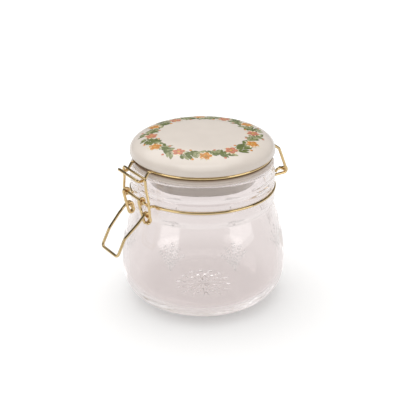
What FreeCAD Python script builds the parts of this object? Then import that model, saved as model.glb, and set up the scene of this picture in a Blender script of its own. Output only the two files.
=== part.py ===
"""Clip-top storage jar: clear glass jar, glazed ceramic lid, seal and wire bail closure.

Millimetres, +Z up. The origin is on the jar's axis, on the surface the jar stands on.
The latch is at the front (-Y) and the wire hinge at the rear (+Y).
"""
import FreeCAD, Part
import math
import os

# ---- driving dimensions ----------------------------------------------------

# glass body
BODY_R = 56.0               # widest radius of the body
BODY_WALL = 3.3
BASE_THICK = 5.0
HEEL_REACH = 20.5           # rounded heel, from the body's side in to the flat rest
HEEL_H = 22.0
SIDE_H = 6.2                # straight stretch above the heel
SHOULDER_H = 40.5           # drawn-in stretch from the straight side up to the waist
SHOULDER_SLOPE = math.radians(18.4)
SHOULDER_FULLNESS = (0.36, 0.38)    # how long the curve keeps each end's direction
SLOPE_RUN = 3.0             # straight end of the slope, up to the waist's bend
BORE_START_RISE = 1.35      # the bore starts this far above the waist

# glass neck
NECK_R = 49.0               # crest radius of the neck's ridges
NECK_WALL = 4.5
WAIST_DIP = 1.2             # valley under the neck band
WAIST_RISE = 4.4            # from the valley up to the neck band
NECK_DIP = 0.9              # depth of the valleys between the ridges
BAND_H = 11.5               # waist to the groove that holds the neck wire
COLLAR_H = 17.8             # groove to the mouth
RIDGE_Z = (4.6, 6.0, 8.2, 9.8, 11.4)    # ridge and lip edges above the groove
LIP_INSET = 0.7
GROOVE_DEPTH = 1.3
GROOVE_FLARE = 0.65

# lid and seal
LID_INSET = 0.3             # dome's widest radius inside the neck's
LID_DOME_H = 11.6
DOME_POWER = 4.7            # roundness of the dome's shoulder, seen across
DOME_TOP_POWER = 2.4        # and how flat its top is
DOME_EDGE_H = 1.0           # upright edge at the widest radius
FLANGE_INSET = 1.7
FLANGE_THICK = 2.4
SLOT_PLAY = 0.8             # slot height beyond the wire's diameter
PLUG_CLEAR = 2.9            # top of the plug to the neck's bore
PLUG_TAPER = 4.2
PLUG_DEPTH = 12.0           # plug below the glass mouth
PLUG_NECK_DROP = 0.5        # start of the plug's taper below the mouth
PLUG_WALL = 5.0             # rim of the plug round the hollow underside
PLUG_RIM_R = 1.5            # round edges of that rim
LID_THICK = 7.3
SEAL_THICK = 1.6
SEAL_INSET = 1.5
SEAL_GAP = 0.2              # seal to plug

# wires
WIRE_R = 0.95
LINK_WIRE_R = 0.85
BEND_R = 2.0                # usual bend on the wire's centre line
TIGHT_BEND_R = 1.3
STEP_RUN = 3.0              # ring's exit bend to the next bend of an arm
EYE_GAP = 0.15              # loose fit of an eye round its pin
GROOVE_GAP = 0.1            # wire to the groove that holds it
SIDE_GAP = 0.3              # between wires that pass side by side

# hinge at the rear, Y counted outward from the neck and Z from the wire in its groove
HINGE_OUT = 12.8
HINGE_DROP = 2.8            # how far the eyes' lower run lies below the neck groove
HINGE_EYE_X = 10.0          # plane of the neck wire's rear eyes
HINGE_PIN_END_X = 4.5
HINGE_EYE_LENGTH = 6.0
HINGE_TIP = 1.8             # last stretch of the eye, turned down
ARM_CORNER_OUT = 5.4        # corner of the lid wire's rear arms
ARM_CORNER_DROP = 5.3       # that corner below the lid wire's ring

# latch at the front, counted outward from the neck and up from the neck groove
BAR_OUT = 4.7               # front bar of the neck wire, the lever's pivot
BAR_UP = 4.0
LEVER_X = 10.0              # plane of the lever's crank
COIL_GAP = 0.25             # long coil to the neck's crest
COIL_DROP = 6.7             # top of the long coil, where the link's pin sits
COIL_LENGTH = 3.6           # how far the coil runs on below the pin
HANDLE_BEND_X = 10.2
HANDLE_ARCH = 0.4           # share of the run to the bend that stays in the coil's plane
HANDLE_BEND_OUT = 11.4      # outward from the body
HANDLE_BEND_DROP = 19.4
HANDLE_BEND_R = 9.0
HANDLE_END_X = 10.4
HANDLE_END_OUT = 17.3       # outward from the body
HANDLE_END_DROP = 30.9
HANDLE_END_R = 2.6
LINK_TOP_OUT = 3.9
LINK_SPLAY_Z = (12.3, 4.8)  # stretch over which the legs splay, above the groove
LINK_FOOT_GAP = 0.95        # leg to the front run of the neck wire
LINK_SEAT_GAP = 0.4         # crossbar above its seat on the nose

# nose of the lid wire, counted outward from the neck and down from the lid wire's ring
NOSE_X = 10.6
NOSE_TURN_OUT = -0.6        # where the arms turn down over the lip
NOSE_SEAT_OUT = (2.7, 6.2)  # seat for the link's crossbar
NOSE_SEAT_DROP = 4.95
NOSE_FLARE_OUT = 7.2
NOSE_FLARE_DROP = 4.3
NOSE_END_X = 11.9           # half width of the nose's end
NOSE_END_OUT = 8.9
NOSE_END_DROP = 3.15

# ---- values that follow ----------------------------------------------------

REST_R = BODY_R - HEEL_REACH
SHOULDER_Z = HEEL_H + SIDE_H
WAIST_R = NECK_R - WAIST_DIP
WAIST_Z = SHOULDER_Z + SHOULDER_H
NECK_BORE_R = NECK_R - NECK_WALL
NECK_GROOVE_Z = WAIST_Z + BAND_H
MOUTH_Z = NECK_GROOVE_Z + COLLAR_H
GROOVE_FLOOR_R = NECK_R - GROOVE_DEPTH
NECK_WIRE_R = GROOVE_FLOOR_R + GROOVE_GAP + WIRE_R

SEAL_TOP_Z = MOUTH_Z + SEAL_THICK
FLANGE_R = NECK_R - FLANGE_INSET
FLANGE_TOP_Z = SEAL_TOP_Z + FLANGE_THICK
LID_EDGE_Z = FLANGE_TOP_Z + 2 * WIRE_R + SLOT_PLAY
LID_TOP_Z = LID_EDGE_Z + LID_DOME_H
LID_GROOVE_R = FLANGE_R - 2 * WIRE_R
LID_WIRE_RING_R = LID_GROOVE_R + GROOVE_GAP + WIRE_R
LID_WIRE_Z = (FLANGE_TOP_Z + LID_EDGE_Z) / 2
PLUG_TOP_R = NECK_BORE_R - PLUG_CLEAR
PLUG_TIP_R = PLUG_TOP_R - PLUG_TAPER
PLUG_TIP_Z = MOUTH_Z - PLUG_DEPTH
RECESS_R = PLUG_TIP_R - PLUG_WALL
RECESS_TOP_Z = LID_TOP_Z - LID_THICK

EYE_R = 2 * WIRE_R + EYE_GAP
COIL_R = WIRE_R + LINK_WIRE_R + EYE_GAP
COIL_PITCH = 1.8 * WIRE_R   # the coil's two turns touch

HINGE_Y = NECK_R + HINGE_OUT
HINGE_Z = NECK_GROOVE_Z - HINGE_DROP + EYE_R
HINGE_ARM_X = HINGE_EYE_X + WIRE_R + BEND_R + SIDE_GAP

FRONT_RUN_X = LEVER_X + WIRE_R + BEND_R + SIDE_GAP
BAR_Y = NECK_R + BAR_OUT
BAR_Z = NECK_GROOVE_Z + BAR_UP
COIL_NEAR_X = LEVER_X - WIRE_R      # the coil's side where the round neck stands nearest
COIL_Y = math.sqrt(NECK_R ** 2 - COIL_NEAR_X ** 2) + COIL_R + WIRE_R + COIL_GAP
COIL_Z = NECK_GROOVE_Z - COIL_DROP
LINK_TOP_Y = NECK_R + LINK_TOP_OUT
LINK_TOP_Z = LID_WIRE_Z - NOSE_SEAT_DROP + WIRE_R + LINK_WIRE_R + LINK_SEAT_GAP
LINK_TOP_X = NOSE_END_X + WIRE_R + LINK_WIRE_R + SIDE_GAP
LINK_FOOT_X = FRONT_RUN_X + WIRE_R + LINK_WIRE_R + LINK_FOOT_GAP
LINK_PIN_END_X = COIL_NEAR_X


# ---- geometry helpers ------------------------------------------------------

def vec(x, y, z):
    return FreeCAD.Vector(x, y, z)


def unit(vector):
    return vector * (1.0 / vector.Length)


def fillet_arc(before, corner, after, radius):
    """The arc that rounds a corner, with its two tangent points, or None on a straight run."""
    into = unit(before - corner)
    out = unit(after - corner)
    turn = math.pi - into.getAngle(out)
    if turn < 1e-4:
        return None
    reach = radius * math.tan(turn / 2)
    start = corner + into * reach
    end = corner + out * reach
    middle_way = unit(into + out)
    centre = corner + middle_way * (radius / math.cos(turn / 2))
    middle = centre - middle_way * radius
    return start, middle, end


def rounded_path(points, bends):
    """Straight runs joined by tangent arcs; one bend radius for each inner point."""
    edges = []
    here = points[0]
    for before, corner, after, bend in zip(points, points[1:], points[2:], bends):
        arc = fillet_arc(before, corner, after, bend)
        if arc is None:
            continue
        start, middle, end = arc
        if (start - here).Length > 1e-6:
            edges.append(Part.makeLine(here, start))
        edges.append(Part.Arc(start, middle, end).toShape())
        here = end
    if (points[-1] - here).Length > 1e-6:
        edges.append(Part.makeLine(here, points[-1]))
    return edges


def mirrored(points):
    """The same points on the other side of the X = 0 plane, in reverse order."""
    return [vec(-p.x, p.y, p.z) for p in reversed(points)]


def arc_about_x(x, centre_y, centre_z, radius, start_deg, end_deg):
    """Arc in a plane of constant X; the angle runs from the outward (-Y) side towards +Z."""
    def at(degrees):
        turn = math.radians(degrees)
        return vec(x, centre_y - radius * math.cos(turn), centre_z + radius * math.sin(turn))
    return Part.Arc(at(start_deg), at((start_deg + end_deg) / 2), at(end_deg)).toShape()


def wire_solid(edges, radius):
    """A round wire along a path of tangent edges."""
    path = Part.Wire(edges)
    first = edges[0]
    start = first.Vertexes[0].Point
    if (start - edges[1].Vertexes[0].Point).Length < 1e-6 or \
            (start - edges[1].Vertexes[-1].Point).Length < 1e-6:
        start = first.Vertexes[-1].Point
    direction = first.tangentAt(first.Curve.parameter(start))
    section = Part.Wire(Part.makeCircle(radius, start, direction))
    solid = path.makePipeShell([section], True, False)
    drawn = math.pi * radius ** 2 * path.Length
    print(f"  wire length {path.Length:.1f}, volume ratio {solid.Volume / drawn:.4f}")
    return solid


def revolved(edges):
    """Full turn about the jar's axis of a closed outline in the X-Z plane."""
    face = Part.Face(Part.Wire(edges))
    return face.revolve(vec(0, 0, 0), vec(0, 0, 1), 360)


def outline(points):
    """Points of (r, z, bend) as a rounded open path in the X-Z plane."""
    places = [vec(r, 0, z) for r, z, _ in points]
    return rounded_path(places, [bend for _, _, bend in points[1:-1]])


def quarter_ellipse(centre, half_r, half_z):
    """Heel curve from straight below the centre out to its side."""
    low = vec(centre[0], 0, centre[1] - half_z)
    side = vec(centre[0] + half_r, 0, centre[1])
    if half_r > half_z:
        ellipse = Part.Ellipse(side, low, vec(centre[0], 0, centre[1]))
    else:
        ellipse = Part.Ellipse(low, side, vec(centre[0], 0, centre[1]))
    first = ellipse.parameter(low)
    last = ellipse.parameter(side)
    if (last - first) % (2 * math.pi) > math.pi:
        first, last = last, first
    return Part.ArcOfEllipse(ellipse, first, last).toShape()


# ---- glass -----------------------------------------------------------------

def body_side(side_r, waist_r, waist_z):
    """Side wall from the heel up towards the waist: straight, then drawn in to a slope."""
    lean = vec(-math.sin(SHOULDER_SLOPE), 0, math.cos(SHOULDER_SLOPE))
    start = vec(side_r, 0, SHOULDER_Z)
    end = vec(waist_r, 0, waist_z) - lean * SLOPE_RUN
    height = end.z - start.z
    keep_up = vec(0, 0, SHOULDER_FULLNESS[0] * height)
    keep_lean = lean * (SHOULDER_FULLNESS[1] * height / lean.z)
    curve = Part.BezierCurve()
    curve.setPoles([start, start + keep_up, end - keep_lean, end])
    return [Part.makeLine(vec(side_r, 0, HEEL_H), start), curve.toShape()], end


def glass_outside():
    """Outer profile: the curved body, and the neck's points from the slope to the bore."""
    heel = quarter_ellipse((REST_R, HEEL_H), HEEL_REACH, HEEL_H)
    side, slope = body_side(BODY_R, WAIST_R, WAIST_Z)
    ridge = [NECK_GROOVE_Z + up for up in RIDGE_Z]
    groove_low = NECK_GROOVE_Z - WIRE_R
    groove_high = NECK_GROOVE_Z + WIRE_R
    neck = [
        (slope.x, slope.z, 0),
        (WAIST_R, WAIST_Z, 3.0),
        (NECK_R, WAIST_Z + WAIST_RISE, 5.0),
        (NECK_R, groove_low - GROOVE_FLARE, 0.7),
        (GROOVE_FLOOR_R, groove_low, 0.4),
        (GROOVE_FLOOR_R, groove_high, 0.4),
        (NECK_R, groove_high + GROOVE_FLARE, 0.7),
        (NECK_R, ridge[0], 1.0),
        (NECK_R - NECK_DIP, ridge[1], 1.0),
        (NECK_R, ridge[2], 1.0),
        (NECK_R, ridge[3], 1.0),
        (NECK_R - LIP_INSET, ridge[4], 0.6),
        (NECK_R - LIP_INSET, MOUTH_Z, 1.5),
        (NECK_BORE_R, MOUTH_Z, 1.2),
    ]
    return [heel] + side, neck


def make_glass():
    outer_low, neck = glass_outside()
    inner_r = BODY_R - BODY_WALL
    inner_heel = quarter_ellipse((REST_R, HEEL_H), inner_r - REST_R, HEEL_H - BASE_THICK)
    inner_side, slope = body_side(inner_r, NECK_BORE_R, WAIST_Z + BORE_START_RISE)
    mouth_and_bore = neck + [
        (NECK_BORE_R, WAIST_Z + BORE_START_RISE, 4.0),
        (slope.x, slope.z, 0),
    ]
    edges = [Part.makeLine(vec(0, 0, 0), vec(REST_R, 0, 0))]
    edges += outer_low
    edges += outline(mouth_and_bore)
    edges += inner_side + [inner_heel]
    edges.append(Part.makeLine(vec(REST_R, 0, BASE_THICK), vec(0, 0, BASE_THICK)))
    edges.append(Part.makeLine(vec(0, 0, BASE_THICK), vec(0, 0, 0)))
    return revolved(Part.__sortEdges__(edges))


# ---- lid -------------------------------------------------------------------

def dome_curve(widest):
    """Nearly flat top that rounds over to the widest radius, as a superellipse."""
    height = LID_TOP_Z - widest.z
    steps = 14
    points = []
    for step in range(steps + 1):
        turn = math.pi / 2 * step / steps
        r = widest.x * math.sin(turn) ** (2 / DOME_POWER)
        z = widest.z + height * math.cos(turn) ** (2 / DOME_TOP_POWER)
        points.append(vec(r, 0, z))
    curve = Part.BSplineCurve()
    curve.interpolate(Points=points, InitialTangent=vec(1, 0, 0), FinalTangent=vec(0, 0, -1))
    return curve.toShape()


def make_lid():
    widest = vec(NECK_R - LID_INSET, 0, LID_EDGE_Z + DOME_EDGE_H)
    under = [
        (widest.x, widest.z, 0),
        (widest.x, LID_EDGE_Z, 0.8),
        (LID_GROOVE_R, LID_EDGE_Z, 0.6),
        (LID_GROOVE_R, FLANGE_TOP_Z, 0.6),
        (FLANGE_R, FLANGE_TOP_Z, 0.6),
        (FLANGE_R, SEAL_TOP_Z, 0.5),
        (PLUG_TOP_R, SEAL_TOP_Z, 0.3),
        (PLUG_TOP_R, MOUTH_Z - PLUG_NECK_DROP, 2.0),
        (PLUG_TIP_R, PLUG_TIP_Z, PLUG_RIM_R),
        (RECESS_R + PLUG_RIM_R, PLUG_TIP_Z, PLUG_RIM_R),
        (RECESS_R, RECESS_TOP_Z, 4.0),
        (0, RECESS_TOP_Z, 0),
    ]
    edges = [dome_curve(widest)] + outline(under)
    edges.append(Part.makeLine(vec(0, 0, RECESS_TOP_Z), vec(0, 0, LID_TOP_Z)))
    return revolved(Part.__sortEdges__(edges))


def make_seal():
    inner_r = PLUG_TOP_R + SEAL_GAP
    outer_r = NECK_R - SEAL_INSET
    middle_z = (MOUTH_Z + SEAL_TOP_Z) / 2
    ring = [
        (inner_r, middle_z, 0),
        (inner_r, MOUTH_Z, 0.3),
        (outer_r, MOUTH_Z, 0.5),
        (outer_r, SEAL_TOP_Z, 0.5),
        (inner_r, SEAL_TOP_Z, 0.3),
        (inner_r, middle_z, 0),
    ]
    return revolved(outline(ring))


# ---- wires -----------------------------------------------------------------

def ring_exit(ring_r, arm_x, z, side):
    """Where a ring of wire turns out into an arm along Y at arm_x.

    side is -1 at the front and +1 at the rear. Gives the ring's last point, the corner
    for the bend and the bend's radius.
    """
    turn_at = math.asin((arm_x + 0.75 * BEND_R) / ring_r)
    last = vec(ring_r * math.sin(turn_at), side * ring_r * math.cos(turn_at), z)
    reach = (last.x - arm_x) / math.cos(turn_at)
    corner = vec(arm_x, last.y + side * reach * math.sin(turn_at), z)
    bend = reach / math.tan((math.pi / 2 - turn_at) / 2)
    return last, corner, bend


def ring_half(ring_r, z, start, end):
    """Arc of the ring on the +X side from the rear point to the front point."""
    return Part.Arc(start, vec(ring_r, 0, z), end).toShape()


def both_sides(edges):
    """A path on the +X side and its mirror image."""
    return edges + [edge.mirror(vec(0, 0, 0), vec(1, 0, 0)) for edge in reversed(edges)]


def make_neck_wire():
    """One wire: rear eye, round the groove, front bar, round the groove, rear eye."""
    z = NECK_GROOVE_Z
    rear_last, rear_corner, rear_bend = ring_exit(NECK_WIRE_R, HINGE_EYE_X, z, 1)
    front_last, front_corner, front_bend = ring_exit(NECK_WIRE_R, FRONT_RUN_X, z, -1)
    low_z = HINGE_Z - EYE_R
    high_z = HINGE_Z + EYE_R
    x = HINGE_EYE_X
    eye_end = HINGE_Y - HINGE_EYE_LENGTH
    tip = [
        vec(x, eye_end - HINGE_TIP, HINGE_Z),
        vec(x, eye_end, high_z),
        vec(x, HINGE_Y, high_z),
    ]
    turn = arc_about_x(x, HINGE_Y, HINGE_Z, EYE_R, 90, 270)
    step_start = rear_corner.y + STEP_RUN
    arm = [
        vec(x, HINGE_Y, low_z),
        vec(x, step_start + HINGE_DROP, low_z),
        vec(x, step_start, z),
        rear_corner,
        rear_last,
    ]
    rise_y = front_corner.y - STEP_RUN
    front = [
        front_last,
        front_corner,
        vec(FRONT_RUN_X, rise_y, z),
        vec(FRONT_RUN_X, -BAR_Y, BAR_Z),
        vec(0, -BAR_Y, BAR_Z),
    ]
    edges = rounded_path(tip, [TIGHT_BEND_R]) + [turn]
    edges += rounded_path(arm, [TIGHT_BEND_R, TIGHT_BEND_R, rear_bend])
    edges.append(ring_half(NECK_WIRE_R, z, rear_last, front_last))
    edges += rounded_path(front, [front_bend, TIGHT_BEND_R, BEND_R])
    return wire_solid(both_sides(edges), WIRE_R)


def make_lid_wire():
    """One wire: rear pin, hinge arm, round the lid's groove, nose, and back."""
    z = LID_WIRE_Z
    rear_last, rear_corner, rear_bend = ring_exit(LID_WIRE_RING_R, HINGE_ARM_X, z, 1)
    front_last, front_corner, front_bend = ring_exit(LID_WIRE_RING_R, NOSE_X, z, -1)
    x = HINGE_ARM_X
    hinge = [
        vec(HINGE_PIN_END_X, HINGE_Y, HINGE_Z),
        vec(x, HINGE_Y, HINGE_Z),
        vec(x, NECK_R + ARM_CORNER_OUT, z - ARM_CORNER_DROP),
        vec(x, rear_corner.y + STEP_RUN, z),
        rear_corner,
        rear_last,
    ]
    seat_z = z - NOSE_SEAT_DROP
    end_y = -(NECK_R + NOSE_END_OUT)
    nose = [
        front_last,
        front_corner,
        vec(NOSE_X, -(NECK_R + NOSE_TURN_OUT), z),
        vec(NOSE_X, -(NECK_R + NOSE_SEAT_OUT[0]), seat_z),
        vec(NOSE_X, -(NECK_R + NOSE_SEAT_OUT[1]), seat_z),
        vec(NOSE_END_X, -(NECK_R + NOSE_FLARE_OUT), z - NOSE_FLARE_DROP),
        vec(NOSE_END_X, end_y, z - NOSE_END_DROP),
        vec(0, end_y, z - NOSE_END_DROP),
    ]
    tight = TIGHT_BEND_R
    edges = rounded_path(hinge, [BEND_R, BEND_R, tight, rear_bend])
    edges.append(ring_half(LID_WIRE_RING_R, z, rear_last, front_last))
    edges += rounded_path(nose, [front_bend, tight, tight, tight, 0.6 * tight, tight])
    return wire_solid(both_sides(edges), WIRE_R)


def make_lever():
    """Handle and cranks: eyes round the front bar, and a long coil on each side for the link."""
    apart = math.hypot(COIL_Y - BAR_Y, COIL_Z - BAR_Z)
    facing = math.atan2(COIL_Z - BAR_Z, COIL_Y - BAR_Y)
    side_on = facing + math.acos((EYE_R - COIL_R) / apart)
    across = math.degrees(side_on)
    foot_y = -(COIL_Y + COIL_LENGTH * math.sin(side_on))
    foot_z = COIL_Z - COIL_LENGTH * math.cos(side_on)
    cranks = []
    for side in (-1, 1):
        x = side * LEVER_X
        eye = arc_about_x(x, -BAR_Y, BAR_Z, EYE_R, across + 290, across)
        foot = arc_about_x(x, foot_y, foot_z, COIL_R, across, across - 180)
        top = arc_about_x(x, -COIL_Y, COIL_Z, COIL_R, across + 180, across + 60)
        crank = Part.makeLine(eye.Vertexes[-1].Point, foot.Vertexes[0].Point)
        inner_run = Part.makeLine(foot.Vertexes[-1].Point, top.Vertexes[0].Point)
        cranks.append(wire_solid([eye, crank, foot, inner_run, top], WIRE_R))

    handle_x = LEVER_X + COIL_PITCH
    bend = vec(HANDLE_BEND_X, -(BODY_R + HANDLE_BEND_OUT), NECK_GROOVE_Z - HANDLE_BEND_DROP)
    end = vec(HANDLE_END_X, -(BODY_R + HANDLE_END_OUT), NECK_GROOVE_Z - HANDLE_END_DROP)
    out = -bend.y - COIL_Y
    down = COIL_Z - bend.z
    leave = math.degrees(math.acos(COIL_R / math.hypot(out, down)) - math.atan2(down, out))
    starts = []
    for side in (1, -1):
        x = side * handle_x
        low = arc_about_x(x, foot_y, foot_z, COIL_R, across - 60, across - 180)
        turn = arc_about_x(x, -COIL_Y, COIL_Z, COIL_R, across + 180, leave)
        run = Part.makeLine(low.Vertexes[-1].Point, turn.Vertexes[0].Point)
        starts.append([low, run, turn])
    leaving = starts[0][-1].Vertexes[-1].Point
    in_plane = leaving + (vec(handle_x, bend.y, bend.z) - leaving) * HANDLE_ARCH
    half = [leaving, in_plane, bend, end]
    bends = [HANDLE_BEND_R, HANDLE_BEND_R, HANDLE_END_R]
    handle = rounded_path(half + mirrored(half), bends + bends[::-1])
    handle = wire_solid(starts[0] + handle + starts[1][::-1], WIRE_R)
    return handle.fuse(cranks)


def make_link():
    """Crossbar over the nose and two splayed legs whose feet turn in through the coils."""
    lean = (LINK_TOP_Y - COIL_Y) / (LINK_TOP_Z - COIL_Z)

    def on_leg(x, z):
        return vec(x, -(COIL_Y + lean * (z - COIL_Z)), z)

    half = [
        vec(LINK_PIN_END_X, -COIL_Y, COIL_Z),
        vec(LINK_FOOT_X, -COIL_Y, COIL_Z),
        on_leg(LINK_FOOT_X, NECK_GROOVE_Z + LINK_SPLAY_Z[1]),
        on_leg(LINK_TOP_X, NECK_GROOVE_Z + LINK_SPLAY_Z[0]),
        vec(LINK_TOP_X, -LINK_TOP_Y, LINK_TOP_Z),
        vec(0, -LINK_TOP_Y, LINK_TOP_Z),
    ]
    edges = rounded_path(half, [BEND_R, 1.5 * BEND_R, 1.5 * BEND_R, BEND_R])
    return wire_solid(both_sides(edges), LINK_WIRE_R)


# ---- export ----------------------------------------------------------------

NODES = {
    "jar_glass": make_glass,
    "neck_wire": make_neck_wire,
    "lid_ceramic": make_lid,
    "lid_seal": make_seal,
    "lid_wire": make_lid_wire,
    "latch_lever": make_lever,
    "latch_link": make_link,
}

os.makedirs("parts", exist_ok=True)
for node, make in NODES.items():
    shape = make()
    solid = shape.Solids[0]
    print(f"{node}: {len(shape.Solids)} solid, valid {solid.isValid()}, {solid.Volume / 1000:.2f} cm3")
    solid.exportStep(f"parts/{node}.step")
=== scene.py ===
"""Clip-top storage jar: the finish of the glass, the glazed lid, the seal and the gilt wires."""

import math
import random

import bmesh
import bpy
from mathutils import Matrix, Vector
from mathutils.bvhtree import BVHTree


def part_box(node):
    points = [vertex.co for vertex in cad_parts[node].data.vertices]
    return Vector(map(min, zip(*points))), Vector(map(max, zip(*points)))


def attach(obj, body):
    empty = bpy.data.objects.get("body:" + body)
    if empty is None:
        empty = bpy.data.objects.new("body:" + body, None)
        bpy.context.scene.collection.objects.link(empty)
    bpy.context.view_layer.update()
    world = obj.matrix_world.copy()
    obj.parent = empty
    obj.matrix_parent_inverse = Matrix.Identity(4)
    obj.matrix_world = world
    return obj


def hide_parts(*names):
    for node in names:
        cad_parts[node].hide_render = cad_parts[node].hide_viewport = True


bl_info = {
    "name": "Clip-top Jar",
    "version": (1, 0, 0),
    "blender": (4, 5, 0),
    "location": "View3D > Sidebar > Jar",
    "description": "Dresses the packed clip-top jar in glass, glaze, rubber and gilt wire",
    "category": "Object",
}

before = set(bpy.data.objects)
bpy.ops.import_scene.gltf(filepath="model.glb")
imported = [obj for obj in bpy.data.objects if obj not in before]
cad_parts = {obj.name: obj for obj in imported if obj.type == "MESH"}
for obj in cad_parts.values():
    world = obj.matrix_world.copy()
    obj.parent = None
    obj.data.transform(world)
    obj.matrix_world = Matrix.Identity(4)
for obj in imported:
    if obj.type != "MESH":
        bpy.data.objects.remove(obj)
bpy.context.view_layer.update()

AXIS_UP = Vector((0, 0, 1))
GLASS_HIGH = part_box("jar_glass")[1]
BODY_R = GLASS_HIGH.x
NECK_FOOT = 0.70 * GLASS_HIGH.z         # the blown body is faintly wavy below this
FLANGE_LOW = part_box("lid_seal")[1].z    # underside of the lid's flange, on the seal
DOME_LOW = FLANGE_LOW + 0.0051          # lower edge of the lid's dome, above the wire's groove

WELD = 1e-6                             # vertices nearer to each other than this are one
CUT = 1e-7                              # vertices nearer to a cut than this lie on it
TURN_STEPS = 192                        # steps of a turned piece
TURNED_CREASE = math.radians(40)        # edges sharper than this stay sharp
WIRE_CREASE = math.radians(50)          # and so do these on a wire


# ---- settings --------------------------------------------------------------

def length(name, text, default):
    """A length that the panel shows in the scene's units."""
    return bpy.props.FloatProperty(name=name, description=text, default=default, min=0,
                                   unit="LENGTH", precision=5)


def colour(name, text, default):
    """A linear colour that the panel shows as a swatch."""
    return bpy.props.FloatVectorProperty(name=name, description=text, default=default,
                                         subtype="COLOR", size=3, min=0, max=1)


class JarSizes(bpy.types.PropertyGroup):
    """Sizes of what is printed on, etched into and moulded in the jar."""
    wreath_r: length("Wreath radius", "Middle of the printed wreath on the lid", 0.0352)
    wreath_width: length("Wreath width", "Width of the band that the wreath fills", 0.0135)
    wreath_blooms: bpy.props.IntProperty(name="Blooms", description="Large blooms in the wreath",
                                         default=12, min=3, max=30)
    print_height: length("Print height", "How far the print stands on the glaze", 0.00005)
    sprig_height: length("Sprig height", "Height of an etched sprig on the glass", 0.0175)
    sprig_low: length("Sprig foot", "Foot of the sprigs above the base", 0.040)
    sprig_count: bpy.props.IntProperty(name="Sprigs", description="Etched sprigs round the body",
                                       default=8, min=1, max=30)
    sprig_turn: bpy.props.FloatProperty(name="Sprig turn", description="Place of the first sprig",
                                        default=math.radians(34), subtype="ANGLE")
    rosette_r: length("Rosette radius", "Moulded rosette in the middle of the base", 0.017)
    rosette_depth: length("Rosette depth", "Depth of the moulded rosette", 0.0011)


class JarColours(bpy.types.PropertyGroup):
    """Colours of the jar's finishes, and of the shade painted into the lid's groove."""
    glass: colour("Glass", "Tint of one wall of the glass", (0.935, 0.91, 0.905))
    glaze: colour("Glaze", "Cream glaze of the lid", (0.80, 0.725, 0.655))
    # painted shade: the brown band under the dome's edge and the wire, in the groove and on the
    # flange
    groove_shade: colour("Groove", "Darkening of the thin glaze in the groove", (0.44, 0.34, 0.26))
    seal: colour("Seal", "Rubber seal", (0.78, 0.69, 0.63))
    gilt: colour("Gilt", "Gold-coloured plating of the wires", (0.82, 0.62, 0.32))
    leaf: colour("Leaf", "Printed leaves", (0.15, 0.18, 0.055))
    leaf_pale: colour("Pale leaf", "Lighter printed leaves", (0.32, 0.33, 0.17))
    orange: colour("Orange bloom", "Printed orange petals", (0.64, 0.27, 0.055))
    coral: colour("Coral bloom", "Printed coral petals", (0.60, 0.23, 0.14))
    cream: colour("Cream petal", "Printed cream petals", (0.82, 0.70, 0.50))
    heart: colour("Bloom heart", "Printed hearts of the blooms", (0.62, 0.36, 0.10))
    frost: colour("Frost", "Etched frosting on the glass", (0.95, 0.94, 0.93))
    frost_thin: colour("Thin frost", "Etched frosting where it is thin", (0.80, 0.78, 0.77))


# ---- materials -------------------------------------------------------------

def set_inputs(node, **values):
    """Sets inputs by their names, with underscores for the spaces."""
    for key, value in values.items():
        node.inputs[key.replace("_", " ")].default_value = value


def add_node(tree, kind, **inputs):
    """A new node with the given input values."""
    node = tree.nodes.new(kind)
    set_inputs(node, **inputs)
    return node


def plain_material(name, base, roughness, **inputs):
    """A principled material with its constant values on the shader's own sockets."""
    material = bpy.data.materials.new(name)
    material.use_nodes = True
    shader = material.node_tree.nodes["Principled BSDF"]
    set_inputs(shader, Base_Color=(*base, 1), Roughness=roughness, **inputs)
    return material, material.node_tree, shader


def shaded(tint, factor):
    """The same hue, lighter or darker."""
    return tuple(min(1.0, part * factor) for part in tint)


def object_place(tree):
    """The piece's own coordinates."""
    return add_node(tree, "ShaderNodeTexCoord").outputs["Object"]


def object_noise(tree, scale, detail):
    """Noise on the piece's own coordinates."""
    noise = add_node(tree, "ShaderNodeTexNoise", Scale=scale, Detail=detail)
    tree.links.new(object_place(tree), noise.inputs["Vector"])
    return noise.outputs["Fac"]


def height_above_base(tree):
    """The height of a point of the piece above the jar's base."""
    split = add_node(tree, "ShaderNodeSeparateXYZ")
    tree.links.new(object_place(tree), split.inputs["Vector"])
    return split.outputs["Z"]


def reach_from_axis(tree):
    """The distance of a point of the piece from the jar's axis."""
    flat = add_node(tree, "ShaderNodeVectorMath")
    flat.operation = "MULTIPLY"
    flat.inputs[1].default_value = (1, 1, 0)
    reach = add_node(tree, "ShaderNodeVectorMath")
    reach.operation = "LENGTH"
    tree.links.new(object_place(tree), flat.inputs[0])
    tree.links.new(flat.outputs["Vector"], reach.inputs[0])
    return reach.outputs["Value"]


def share_between(tree, value, first, last):
    """0 where the value is at first or before it, rising to 1 at last."""
    share = add_node(tree, "ShaderNodeMapRange", From_Min=first, From_Max=last)
    tree.links.new(value, share.inputs["Value"])
    return share.outputs["Result"]


def tint_along(tree, value, stops):
    """A colour that follows a value through stops of position and tint, at least two."""
    ramp = add_node(tree, "ShaderNodeValToRGB")
    bands = ramp.color_ramp.elements
    for number, (position, tint) in enumerate(stops):
        band = bands[number] if number < 2 else bands.new(position)
        band.position = position
        band.color = (*tint, 1)
    tree.links.new(value, ramp.inputs["Fac"])
    return ramp.outputs["Color"]


def mottle(tree, shader, noise, first, second, low=0.35, high=0.65):
    """Lets the base colour wander from one tint to another with a noise."""
    tint = tint_along(tree, noise, ((low, first), (high, second)))
    tree.links.new(tint, shader.inputs["Base Color"])
    return tint


def relief(tree, shader, noise, height, strength=None):
    """Fine relief of the given height in metres, weaker where strength is under 1."""
    bump = add_node(tree, "ShaderNodeBump", Strength=1.0, Distance=height)
    if strength is not None:
        tree.links.new(strength, bump.inputs["Strength"])
    tree.links.new(noise, bump.inputs["Height"])
    tree.links.new(bump.outputs["Normal"], shader.inputs["Normal"])


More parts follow.
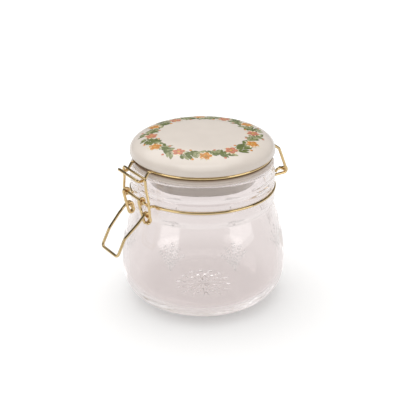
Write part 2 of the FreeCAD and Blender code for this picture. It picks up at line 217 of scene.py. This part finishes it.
def for_ray(tree, ray, usual, shown, share=1.0):
    """The usual shader, but for one kind of ray a share of it gives way to the one shown."""
    amount = add_node(tree, "ShaderNodeLightPath").outputs[ray]
    if share < 1:
        part = add_node(tree, "ShaderNodeMath")
        part.operation = "MULTIPLY"
        part.inputs[1].default_value = share
        tree.links.new(amount, part.inputs[0])
        amount = part.outputs["Value"]
    mix = add_node(tree, "ShaderNodeMixShader")
    tree.links.new(amount, mix.inputs["Fac"])
    tree.links.new(usual, mix.inputs[1])
    tree.links.new(shown, mix.inputs[2])
    return mix.outputs["Shader"]


def set_surface(tree, shader_output):
    """Makes a shader the material's surface."""
    tree.links.new(shader_output, tree.nodes["Material Output"].inputs["Surface"])


GLASS_SHADE = 0.90                      # light that one face of the glass lets through, in shadows
WAVE_HEIGHT = 0.00005
WAVE_FADE = 0.01                        # the waviness of the body fades over this below the neck


def glass_material(tint):
    """Clear glass with a faint waviness; light passes it on its way to other surfaces."""
    material, tree, shader = plain_material("clear_glass", tint, roughness=0.0,
                                            Transmission_Weight=1.0, IOR=1.5)
    below_neck = share_between(tree, height_above_base(tree), NECK_FOOT, NECK_FOOT - WAVE_FADE)
    relief(tree, shader, object_noise(tree, scale=38, detail=1), WAVE_HEIGHT,
           strength=below_neck)
    clear = add_node(tree, "ShaderNodeBsdfTransparent", Color=(*shaded(tint, GLASS_SHADE), 1))
    set_surface(tree, for_ray(tree, "Is Shadow Ray", shader.outputs["BSDF"],
                              clear.outputs["BSDF"]))
    return material


# Painted shade under the dome's edge and the wire: on the way up from flange to dome, the dark
# tint grows until the first of the next two shares and lasts until the second.
GROOVE_SHADE_DEEP = 0.47
GROOVE_SHADE_END = 0.96
GROOVE_SHADE_FROM_R = 0.044                   # only outside this radius, so not in the lid's hollow
GROOVE_SHADE_FADE = 0.001


def glaze_material(tint, groove_shade_tint):
    """Glossy cream glaze with a soft mottle, and dark brown painted shade under the dome's edge,
    on the flange and in the groove that holds the wire.
    """
    material, tree, shader = plain_material("cream_glaze", tint, roughness=0.22,
                                            Specular_IOR_Level=0.35, Coat_Weight=0.6,
                                            Coat_Roughness=0.05)
    glaze = mottle(tree, shader, object_noise(tree, scale=60, detail=3),
                   shaded(tint, 0.975), shaded(tint, 1.02))
    relief(tree, shader, object_noise(tree, scale=90, detail=2), height=0.00003)
    white = (1, 1, 1)
    # painted shade under the dome's edge and the wire, on the flange and in the groove
    groove_shade = tint_along(tree, share_between(tree, height_above_base(tree), FLANGE_LOW, DOME_LOW),
                        ((0.0, white), (GROOVE_SHADE_DEEP, groove_shade_tint), (GROOVE_SHADE_END, groove_shade_tint),
                         (1.0, white)))
    outside = share_between(tree, reach_from_axis(tree), GROOVE_SHADE_FROM_R,
                            GROOVE_SHADE_FROM_R + GROOVE_SHADE_FADE)
    glaze_and_shade = add_node(tree, "ShaderNodeMix")
    glaze_and_shade.data_type = "RGBA"
    glaze_and_shade.blend_type = "MULTIPLY"
    tree.links.new(outside, glaze_and_shade.inputs["Factor"])
    tree.links.new(glaze, glaze_and_shade.inputs["A"])
    tree.links.new(groove_shade, glaze_and_shade.inputs["B"])
    tree.links.new(glaze_and_shade.outputs["Result"], shader.inputs["Base Color"])
    return material


def rubber_material(tint):
    """Satin rubber with a fine moulded grain."""
    material, tree, shader = plain_material("pale_rubber", tint, roughness=0.45)
    mottle(tree, shader, object_noise(tree, scale=300, detail=2), shaded(tint, 0.95), tint)
    relief(tree, shader, object_noise(tree, scale=2500, detail=2), height=0.00002)
    return material


def gilt_material(tint):
    """Polished gold-coloured plating with small drawing marks."""
    material, tree, shader = plain_material("gilt_wire", tint, roughness=0.07, Metallic=1.0)
    mottle(tree, shader, object_noise(tree, scale=240, detail=3), shaded(tint, 0.92), tint)
    relief(tree, shader, object_noise(tree, scale=900, detail=2), height=0.000012)
    return material


def print_material(name, tint):
    """Fired-on print, nearly as glossy as the glaze, with lighter and darker washes."""
    material, tree, shader = plain_material(name, tint, roughness=0.25, Coat_Weight=0.3,
                                            Coat_Roughness=0.10)
    mottle(tree, shader, object_noise(tree, scale=700, detail=2),
           shaded(tint, 0.72), shaded(tint, 1.35), low=0.3, high=0.7)
    return material


def etched_material(thin, full):
    """Faint frosting on the glass."""
    material, tree, shader = plain_material("etched_frost", full, roughness=0.6, Alpha=0.26)
    mottle(tree, shader, object_noise(tree, scale=900, detail=2), thin, full)
    return material


# ---- mesh helpers ----------------------------------------------------------

def new_piece(name, shape, material, body):
    """A named object with the mesh of a bmesh, riding on a body."""
    mesh = bpy.data.meshes.new(name)
    shape.to_mesh(mesh)
    shape.free()
    piece = bpy.data.objects.new(name, mesh)
    bpy.context.scene.collection.objects.link(piece)
    mesh.materials.append(material)
    mesh.shade_smooth()
    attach(piece, body)
    return piece


def merged_copy(node):
    """The node's own mesh with its loose triangles joined."""
    shape = bmesh.new()
    shape.from_mesh(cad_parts[node].data)
    bmesh.ops.remove_doubles(shape, verts=shape.verts, dist=WELD)
    return shape


def half_section(node):
    """The node's outline on the +X side of its axis, in the plane of X and Z."""
    shape = merged_copy(node)
    bmesh.ops.bisect_plane(shape, geom=shape.verts[:] + shape.edges[:] + shape.faces[:],
                           dist=CUT, plane_co=(0, 0, 0), plane_no=(1, 0, 0), clear_inner=True)
    cut = bmesh.ops.bisect_plane(shape, geom=shape.verts[:] + shape.edges[:] + shape.faces[:],
                                 dist=CUT, plane_co=(0, 0, 0), plane_no=(0, 1, 0))
    keep = {part for part in cut["geom_cut"] if isinstance(part, bmesh.types.BMEdge)}
    corners = {vert for edge in keep for vert in edge.verts}
    bmesh.ops.delete(shape, geom=shape.faces[:], context="FACES_ONLY")
    bmesh.ops.delete(shape, geom=[e for e in shape.edges if e not in keep], context="EDGES")
    bmesh.ops.delete(shape, geom=[v for v in shape.verts if v not in corners and v.is_valid],
                     context="VERTS")
    bmesh.ops.remove_doubles(shape, verts=shape.verts, dist=2 * WELD)
    for vert in shape.verts:
        if abs(vert.co.x) < WELD:
            vert.co.x = 0
        vert.co.y = 0
    return shape


def turned_piece(node, name, material, body, refine=None):
    """Spins a node's half section into an even, closed surface."""
    shape = half_section(node)
    if refine:
        refine(shape)
    bmesh.ops.spin(shape, geom=shape.verts[:] + shape.edges[:], cent=(0, 0, 0), axis=AXIS_UP,
                   angle=math.tau, steps=TURN_STEPS, use_merge=True)
    bmesh.ops.remove_doubles(shape, verts=shape.verts, dist=WELD)
    bmesh.ops.recalc_face_normals(shape, faces=shape.faces)
    holes = [edge for edge in shape.edges if len(edge.link_faces) != 2]
    if holes:
        raise RuntimeError(f"{name} isn't closed: {len(holes)} loose edges")
    piece = new_piece(name, shape, material, body)
    piece.data.set_sharp_from_angle(angle=TURNED_CREASE)
    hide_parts(node)
    return piece


def top_surface(piece):
    """Search tree of a piece's mesh, to lay prints on."""
    return BVHTree.FromObject(piece, bpy.context.evaluated_depsgraph_get())


def put(shape, verts, place, turn):
    """Turns flat vertices about the origin and then moves them to their place."""
    bmesh.ops.rotate(shape, verts=verts, cent=(0, 0, 0), matrix=Matrix.Rotation(turn, 3, "Z"))
    bmesh.ops.translate(shape, verts=verts, vec=Vector((*place, 0)))


def around(radius, turn):
    """Place on a ring about the jar's axis."""
    return radius * math.cos(turn), radius * math.sin(turn)


def jar_settings(context):
    """The sizes and colours that the panel shows."""
    return context.scene.jar_sizes, context.scene.jar_colours


# ---- glass, lid, seal and wires --------------------------------------------

BASE_CUTS = 72                          # about this many cuts in the flat base, for the rosette
ROSETTE_PETALS = 14
ROSETTE_RINGS = 3
ROSETTE_STEEP = 3                       # how steep the sides of its petals are


def cut_base(shape):
    """Gives the section of the flat base the vertices that the rosette needs."""
    flat = [e for e in shape.edges if all(abs(v.co.z) < WELD for v in e.verts)]
    bmesh.ops.subdivide_edges(shape, edges=flat, cuts=max(1, BASE_CUTS // len(flat)))


class JAR_OT_glass(bpy.types.Operator):
    """Blown glass body with its ribbed neck and a moulded rosette under the base"""
    bl_idname = "jar.glass"
    bl_label = "Glass"

    def execute(self, context):
        sizes, colours = jar_settings(context)
        glass = turned_piece("jar_glass", "glass_body", glass_material(colours.glass), "jar",
                             cut_base)
        for vert in glass.data.vertices:
            r = math.hypot(vert.co.x, vert.co.y)
            if abs(vert.co.z) > WELD or r > sizes.rosette_r:
                continue
            turn = math.atan2(vert.co.y, vert.co.x)
            rings = ROSETTE_RINGS * r / sizes.rosette_r
            swell = math.sin(math.pi * rings) ** 2
            wave = 0.5 + 0.5 * math.cos(ROSETTE_PETALS * turn + math.pi * math.floor(rings))
            depth = min(1.0, max(0.0, ROSETTE_STEEP * wave * swell - 1.0))
            vert.co.z = sizes.rosette_depth * depth
        return {"FINISHED"}


class JAR_OT_lid(bpy.types.Operator):
    """Domed lid of glazed stoneware"""
    bl_idname = "jar.lid"
    bl_label = "Lid"

    def execute(self, context):
        colours = jar_settings(context)[1]
        turned_piece("lid_ceramic", "glazed_lid", glaze_material(colours.glaze, colours.groove_shade),
                     "lid")
        return {"FINISHED"}


class JAR_OT_seal(bpy.types.Operator):
    """Rubber ring between lid and glass"""
    bl_idname = "jar.seal"
    bl_label = "Seal"

    def execute(self, context):
        colours = jar_settings(context)[1]
        turned_piece("lid_seal", "rubber_seal", rubber_material(colours.seal), "lid")
        return {"FINISHED"}


class JAR_OT_wires(bpy.types.Operator):
    """Bail, hinge and latch of bent gilt wire"""
    bl_idname = "jar.wires"
    bl_label = "Wires"

    def execute(self, context):
        gilt = gilt_material(jar_settings(context)[1].gilt)
        for node, body in (("neck_wire", "jar"), ("lid_wire", "lid"),
                           ("latch_lever", "lever"), ("latch_link", "link")):
            piece = new_piece("gilt_" + node, merged_copy(node), gilt, body)
            piece.data.set_sharp_from_angle(angle=WIRE_CREASE)
            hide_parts(node)
        return {"FINISHED"}


# ---- wreath ----------------------------------------------------------------

WREATH_SEED = 11
LEAF_TIP = 0.001                        # a leaf keeps the width that it has this near its ends

# Shares of the band's width, if nothing else is said. A pair is a lowest and a highest value.
BLOOM_R = 0.31
BLOOM_SWAY = 0.10                       # blooms lie in turn inside and outside the ring
BLOOM_TWIST = 0.3                       # radians
RAYS = 10                               # narrow cream petals behind each bloom
RAY_SWING = (-0.12, 0.12)               # radians
RAY_LENGTH = (0.38, 0.46)
RAY_WIDTH = 0.13
BERRY_R = 0.07
BERRY_SWAY = 0.40
BERRY_SPREAD = 0.10                     # share of the way from bloom to bloom
LEAF_SPOTS = 17                         # feet of leaves from bloom to bloom
LEAVES_FROM = 0.17                      # share of the way from bloom to bloom
LEAVES_OVER = 0.66                      # and so is this
LEAVES_SWAY = 0.16
LEAF_SWING = (0.45, 1.15)               # radians
LEAF_LENGTH = (0.36, 0.52)
LEAF_WIDTH = (0.14, 0.20)
DARK_LEAVES = 0.65                      # share of these leaves; the rest are pale
BACK_SWING = (0.5, 1.0)                 # radians; these leaves point back along the ring
BACK_LENGTH = (0.34, 0.46)
BACK_WIDTH = 0.15

# Shares of the bloom's radius, if nothing else is said.
PETALS = 5
PETAL_OUT = 0.55
PETAL_R = 0.48
PETAL_SQUASH = 0.85                     # width over length
HEART_R = 0.26

FIRST_LAYER = 0.5                       # of the print's height, for the lowest colour
LAYER_STEP = 0.2                        # and what each colour after it is higher


def leaf(shape, size, width, place, turn, fullness=0.8):
    """A pointed oval from a flat grid, with its foot at place."""
    made = bmesh.ops.create_grid(shape, x_segments=8, y_segments=2, size=0.5)
    for vert in made["verts"]:
        along = vert.co.x + 0.5
        within = min(1 - LEAF_TIP, max(LEAF_TIP, along))
        half = width * math.sin(math.pi * within) ** fullness
        vert.co = Vector((along * size, vert.co.y * half, 0))
    put(shape, made["verts"], place, turn)


def disc(shape, radius, place, squash=1.0, turn=0.0):
    """A round dot or petal."""
    made = bmesh.ops.create_circle(shape, cap_ends=True, cap_tris=True, segments=14,
                                   radius=radius)
    for vert in made["verts"]:
        vert.co.y *= squash
    put(shape, made["verts"], place, turn)


def bloom(petals, heart, radius, place, turn):
    """Round petals about a small heart."""
    for number in range(PETALS):
        way = turn + number * math.tau / PETALS
        out = around(PETAL_OUT * radius, way)
        disc(petals, PETAL_R * radius, (place[0] + out[0], place[1] + out[1]), PETAL_SQUASH, way)
    disc(heart, HEART_R * radius, place)


def flat_wreath(sizes):
    """The wreath lying flat, each of its colours a bmesh, from the lowest layer to the highest."""
    dice = random.Random(WREATH_SEED)
    prints = {name: bmesh.new()
              for name in ("leaf", "leaf_pale", "cream", "orange", "coral", "heart")}
    ring, band = sizes.wreath_r, sizes.wreath_width
    step = math.tau / sizes.wreath_blooms
    for number in range(sizes.wreath_blooms):
        turn = number * step
        side = 1 if number % 2 else -1
        own, other = ("orange", "coral") if number % 2 else ("coral", "orange")
        centre = around(ring + side * BLOOM_SWAY * band, turn)
        for ray in range(RAYS):
            way = turn + ray * math.tau / RAYS + dice.uniform(*RAY_SWING)
            leaf(prints["cream"], band * dice.uniform(*RAY_LENGTH), RAY_WIDTH * band, centre, way)
        bloom(prints[own], prints["heart"], BLOOM_R * band, centre, turn + BLOOM_TWIST * side)
        for spot in range(LEAF_SPOTS):
            share = spot / (LEAF_SPOTS - 1)
            foot_turn = turn + step * (LEAVES_FROM + LEAVES_OVER * share)
            foot_r = ring - side * band * LEAVES_SWAY * math.cos(math.pi * share)
            foot = around(foot_r, foot_turn)
            swing = 1 if spot % 2 else -1
            aim = foot_turn + math.pi / 2 + swing * dice.uniform(*LEAF_SWING)
            shade = prints["leaf" if dice.random() < DARK_LEAVES else "leaf_pale"]
            leaf(shade, band * dice.uniform(*LEAF_LENGTH), band * dice.uniform(*LEAF_WIDTH),
                 foot, aim)
            if spot % 2:
                aim = foot_turn - math.pi / 2 - swing * dice.uniform(*BACK_SWING)
                leaf(prints["leaf"], band * dice.uniform(*BACK_LENGTH), BACK_WIDTH * band,
                     foot, aim)
        for berry in (-1, 1):
            berry_turn = turn + step * (0.5 + BERRY_SPREAD * berry)
            disc(prints[other], BERRY_R * band,
                 around(ring + berry * BERRY_SWAY * band, berry_turn))
    return prints


def lay_on(shape, surface, lift):
    """Drops a flat print on the surface below it and leaves it standing a little proud."""
    bmesh.ops.remove_doubles(shape, verts=shape.verts, dist=WELD)
    for vert in shape.verts:
        place, normal, _, _ = surface.ray_cast(vert.co + AXIS_UP, -AXIS_UP)
        vert.co = place + normal * lift
    bmesh.ops.recalc_face_normals(shape, faces=shape.faces)


class JAR_OT_wreath(bpy.types.Operator):
    """Regular wreath of round blooms and pointed leaves, printed on the lid"""
    bl_idname = "jar.wreath"
    bl_label = "Wreath"

    def execute(self, context):
        sizes, colours = jar_settings(context)
        surface = top_surface(bpy.data.objects["glazed_lid"])
        for level, (name, shape) in enumerate(flat_wreath(sizes).items()):
            lay_on(shape, surface, sizes.print_height * (FIRST_LAYER + LAYER_STEP * level))
            material = print_material("print_" + name, getattr(colours, name))
            new_piece("wreath_" + name, shape, material, "lid")
        return {"FINISHED"}


# ---- sprigs ----------------------------------------------------------------

STEMS = (-2, -1, 0, 1, 2)               # the middle one stands upright
STEM_LEAN = 0.34                        # radians from one stem to the next, half way up
STEM_SHORTER = 0.10                     # share of the height, for each step from the middle
STEM_JOINTS = 7
STEM_WIDTH = 0.0006
STEM_OVERLAP = 1.15                     # length of a stem's piece over the way it covers
STEM_FULLNESS = 0.2                     # nearly straight sides
SIDE_LEAF = 0.15                        # share of the stem's length
SIDE_LEAF_WIDTH = 0.0011
SIDE_LEAF_TURN = 0.7                    # radians
TIP_PETAL = 0.10                        # share of the sprig's height
TIP_PETAL_WIDTH = 0.0009
TIP_PETAL_TURN = 0.55                   # radians
FROST_LIFT = 0.00003


def spray(shape, high):
    """A fan of curved stems with small leaves and a tuft of petals at each tip."""
    for stem in STEMS:
        lean = STEM_LEAN * stem
        reach = high * (1.0 - STEM_SHORTER * abs(stem))
        place = Vector((0, 0))
        for joint in range(STEM_JOINTS):
            way = math.pi / 2 - lean * (0.5 + joint / STEM_JOINTS)
            leaf(shape, STEM_OVERLAP * reach / STEM_JOINTS, STEM_WIDTH, place, way, STEM_FULLNESS)
            place = place + Vector(around(1, way)) * (reach / STEM_JOINTS)
            if joint in (0, STEM_JOINTS - 1):
                continue
            for side in (-1, 1):
                leaf(shape, reach * SIDE_LEAF, SIDE_LEAF_WIDTH, place,
                     way + side * SIDE_LEAF_TURN)
        for petal in (-2, -1, 0, 1, 2):
            leaf(shape, TIP_PETAL * high, TIP_PETAL_WIDTH, place, way + TIP_PETAL_TURN * petal)


class JAR_OT_sprigs(bpy.types.Operator):
    """Faint etched sprays round the glass"""
    bl_idname = "jar.sprigs"
    bl_label = "Sprigs"

    def execute(self, context):
        sizes, colours = jar_settings(context)
        surface = top_surface(bpy.data.objects["glass_body"])
        shape = bmesh.new()
        for number in range(sizes.sprig_count):
            first = len(shape.verts)
            spray(shape, sizes.sprig_height)
            shape.verts.ensure_lookup_table()
            middle = sizes.sprig_turn + math.tau * number / sizes.sprig_count
            for vert in shape.verts[first:]:
                out = Vector((*around(1, middle + vert.co.x / BODY_R), 0))
                start = out * (2 * BODY_R) + AXIS_UP * (sizes.sprig_low + vert.co.y)
                vert.co = surface.ray_cast(start, -out)[0] + out * FROST_LIFT
        bmesh.ops.remove_doubles(shape, verts=shape.verts, dist=WELD)
        bmesh.ops.recalc_face_normals(shape, faces=shape.faces)
        frosting = etched_material(colours.frost_thin, colours.frost)
        new_piece("etched_sprigs", shape, frosting, "jar")
        return {"FINISHED"}


# ---- stage -----------------------------------------------------------------

CAMERA_TURN = math.radians(56.5)        # round the axis from the latch
CAMERA_TILT = math.radians(24.72)       # above the horizon
CAMERA_FAR = 0.740
CAMERA_AIM_Z = 0.0603
CAMERA_SIDE = 0.00488                   # how far the axis is left of the middle of the view
CAMERA_ROLL = math.radians(-0.24)
CAMERA_LENS = 92.3                      # millimetres
CAMERA_SENSOR = 36
GLASS_BOUNCES = 200                     # fewer leave dark edges where light runs round the wall

LIGHTS_AIM_Z = 0.06

FLOOR_TINT = (0.80, 0.80, 0.80)
FLOOR_REACH = 6.0
FLOOR_Z = -0.0001                       # just under the base
FLOOR_NEAR = 0.05                       # from the axis, where the floor's own light starts to grow
FLOOR_FAR = 0.75                        # and where it is full
GLOW_NEAR = 0.24                        # lifts the lit floor to white, and keeps its shadow
GLOW_FAR = 0.60

# Painted shadow: what the glass shows of the floor darkens towards the jar, between the two radii
# below.
SEEN_NEAR_SHADOWED = (0.85, 0.79, 0.78)          # what the glass shows of the floor under the jar,
SEEN_FAR = (1.0, 0.97, 0.96)            # of the floor and walls far behind it
SEEN_UP = (0.70, 0.68, 0.67)            # and of what is overhead
SEEN_NEAR_R = 0.02
SEEN_FAR_R = 0.22
SEEN_EVENNESS = 0.80                    # the rest is the lit and shadowed floor

WORLD_LOW = 0.05                        # the world's colours change from this height
WORLD_HIGH = 0.70                       # to this one, as shares of straight up
LIT_LOW = (0.55, 0.54, 0.53)            # the light that the world gives,
LIT_HIGH = (0.83, 0.82, 0.81)
GLOSS_LOW = (0.26, 0.255, 0.25)         # and what gloss and metal show of it
GLOSS_HIGH = (0.05, 0.05, 0.05)
WHITE = (1, 1, 1, 1)


def make_floor():
    """A pale floor that takes the shadow; through glass it shows as a pale glowing field, darker
    under the jar as a painted shadow.
    """
    shape = bmesh.new()
    bmesh.ops.create_grid(shape, x_segments=1, y_segments=1, size=FLOOR_REACH)
    bmesh.ops.translate(shape, verts=shape.verts, vec=(0, 0, FLOOR_Z))
    mesh = bpy.data.meshes.new("floor")
    shape.to_mesh(mesh)
    shape.free()
    floor = bpy.data.objects.new("floor", mesh)
    bpy.context.scene.collection.objects.link(floor)
    material, tree, shader = plain_material("white_floor", FLOOR_TINT, roughness=0.9,
                                            Specular_IOR_Level=0.0)
    reach = reach_from_axis(tree)
    grey = tint_along(tree, share_between(tree, reach, FLOOR_NEAR, FLOOR_FAR),
                      ((0, (GLOW_NEAR,) * 3), (1, (GLOW_FAR,) * 3)))
    # painted shadow under the jar, for what the glass shows of the floor
    seen_with_painted_shadow = tint_along(tree, share_between(tree, reach, SEEN_NEAR_R, SEEN_FAR_R),
                      ((0, SEEN_NEAR_SHADOWED), (1, SEEN_FAR)))
    glow = add_node(tree, "ShaderNodeEmission")
    lit = add_node(tree, "ShaderNodeAddShader")
    behind_glass = add_node(tree, "ShaderNodeEmission")
    tree.links.new(grey, glow.inputs["Color"])
    tree.links.new(seen_with_painted_shadow, behind_glass.inputs["Color"])
    tree.links.new(shader.outputs["BSDF"], lit.inputs[0])
    tree.links.new(glow.outputs["Emission"], lit.inputs[1])
    shown = for_ray(tree, "Is Camera Ray", shader.outputs["BSDF"], lit.outputs["Shader"])
    set_surface(tree, for_ray(tree, "Is Singular Ray", shown, behind_glass.outputs["Emission"],
                              SEEN_EVENNESS))
    mesh.materials.append(material)


def make_world():
    """White behind the jar; greyer overhead, so that metal and glass have something to show."""
    world = bpy.data.worlds.new("studio")
    bpy.context.scene.world = world
    world.use_nodes = True
    tree = world.node_tree
    path = add_node(tree, "ShaderNodeLightPath")
    split = add_node(tree, "ShaderNodeSeparateXYZ")
    tree.links.new(add_node(tree, "ShaderNodeTexCoord").outputs["Generated"],
                   split.inputs["Vector"])

    def by_height(low, high):
        return tint_along(tree, split.outputs["Z"], ((WORLD_LOW, low), (WORLD_HIGH, high)))

    def where(ray, other, tint):
        mix = add_node(tree, "ShaderNodeMix")
        mix.data_type = "RGBA"
        tree.links.new(path.outputs[ray], mix.inputs["Factor"])
        tree.links.new(other, mix.inputs["A"])
        if isinstance(tint, tuple):
            mix.inputs["B"].default_value = tint
        else:
            tree.links.new(tint, mix.inputs["B"])
        return mix.outputs["Result"]

    light = by_height(LIT_LOW, LIT_HIGH)
    light = where("Is Glossy Ray", light, by_height(GLOSS_LOW, GLOSS_HIGH))
    light = where("Is Singular Ray", light, by_height(SEEN_FAR, SEEN_UP))
    light = where("Is Camera Ray", light, WHITE)
    tree.links.new(light, tree.nodes["Background"].inputs["Color"])


def direction(turn, tilt):
    """The way from the axis to a place turned from the latch and tilted above the horizon."""
    return Vector((math.sin(turn) * math.cos(tilt), -math.cos(turn) * math.cos(tilt),
                   math.sin(tilt)))


def look_back(thing, back):
    """Turns a camera or lamp to look along the opposite of back."""
    thing.rotation_mode = "QUATERNION"
    thing.rotation_quaternion = back.to_track_quat("Z", "Y")


def softbox(name, turn, tilt, far, size, power, shows_in=None):
    """An area light that looks at the jar; turn and tilt in degrees, the turn from the camera's.

    With shows_in it only gives those pieces something to reflect, and lights nothing else.
    """
    light = bpy.data.lights.new(name, "AREA")
    light.shape = "RECTANGLE"
    light.size, light.size_y = size
    light.energy = power
    back = direction(CAMERA_TURN + math.radians(turn), math.radians(tilt))
    lamp = bpy.data.objects.new(name, light)
    lamp.location = back * far + AXIS_UP * LIGHTS_AIM_Z
    look_back(lamp, back)
    if shows_in:
        lamp.visible_diffuse = False
        group = bpy.data.collections.new(name + "_shows_in")
        for each in shows_in:
            group.objects.link(bpy.data.objects[each])
        lamp.light_linking.receiver_collection = group
    bpy.context.scene.collection.objects.link(lamp)


def make_lights():
    """The soft light from above, and three windows that only glass, wires or glaze show."""
    shiny = ["glass_body", "gilt_neck_wire", "gilt_lid_wire", "gilt_latch_lever",
             "gilt_latch_link"]
    softbox("left_softbox", turn=-50, tilt=14, far=1.1, size=(0.60, 0.60), power=1.7,
            shows_in=shiny)
    softbox("right_softbox", turn=60, tilt=14, far=1.1, size=(0.75, 0.60), power=2.3,
            shows_in=shiny)
    softbox("front_softbox", turn=2, tilt=58, far=1.2, size=(1.28, 1.44), power=6.5,
            shows_in=["glazed_lid"])
    softbox("top_softbox", turn=-140, tilt=74, far=1.2, size=(1.70, 1.80), power=8.4)


def make_camera():
    """The view, with enough light bounces for thick glass."""
    paths = bpy.context.scene.cycles
    paths.max_bounces = paths.glossy_bounces = paths.transmission_bounces = GLASS_BOUNCES
    camera = bpy.data.objects.new("camera", bpy.data.cameras.new("camera"))
    camera.data.lens = CAMERA_LENS
    camera.data.sensor_width = CAMERA_SENSOR
    back = direction(CAMERA_TURN, CAMERA_TILT)
    aside = Vector((*around(1, CAMERA_TURN), 0))
    camera.location = back * CAMERA_FAR + aside * CAMERA_SIDE + AXIS_UP * CAMERA_AIM_Z
    look_back(camera, back)
    roll = Matrix.Rotation(CAMERA_ROLL, 4, "Z").to_quaternion()
    camera.rotation_quaternion = camera.rotation_quaternion @ roll
    bpy.context.scene.collection.objects.link(camera)
    bpy.context.scene.camera = camera
    bpy.context.scene.view_settings.view_transform = "Standard"


class JAR_OT_stage(bpy.types.Operator):
    """Pale floor, soft studio light and the camera"""
    bl_idname = "jar.stage"
    bl_label = "Stage"

    def execute(self, context):
        make_floor()
        make_world()
        make_lights()
        make_camera()
        return {"FINISHED"}


# ---- panel and main --------------------------------------------------------

STEPS = (JAR_OT_glass, JAR_OT_lid, JAR_OT_seal, JAR_OT_wires, JAR_OT_wreath, JAR_OT_sprigs,
         JAR_OT_stage)


class JAR_PT_panel(bpy.types.Panel):
    """Sizes, colours and steps of the clip-top jar"""
    bl_idname = "JAR_PT_panel"
    bl_label = "Clip-top Jar"
    bl_space_type = "VIEW_3D"
    bl_region_type = "UI"
    bl_category = "Jar"

    def draw(self, context):
        for group in jar_settings(context):
            for prop in group.bl_rna.properties:
                if not prop.is_readonly and prop.identifier != "name":
                    self.layout.prop(group, prop.identifier)
        for step in STEPS:
            self.layout.operator(step.bl_idname)


CLASSES = (JarSizes, JarColours, *STEPS, JAR_PT_panel)


def register():
    for each in CLASSES:
        bpy.utils.register_class(each)
    bpy.types.Scene.jar_sizes = bpy.props.PointerProperty(type=JarSizes)
    bpy.types.Scene.jar_colours = bpy.props.PointerProperty(type=JarColours)


def unregister():
    del bpy.types.Scene.jar_colours
    del bpy.types.Scene.jar_sizes
    for each in reversed(CLASSES):
        bpy.utils.unregister_class(each)


def main():
    register()
    bpy.ops.jar.glass()
    bpy.ops.jar.lid()
    bpy.ops.jar.seal()
    bpy.ops.jar.wires()
    bpy.ops.jar.wreath()
    bpy.ops.jar.sprigs()
    bpy.ops.jar.stage()


if __name__ == "__main__":
    main()
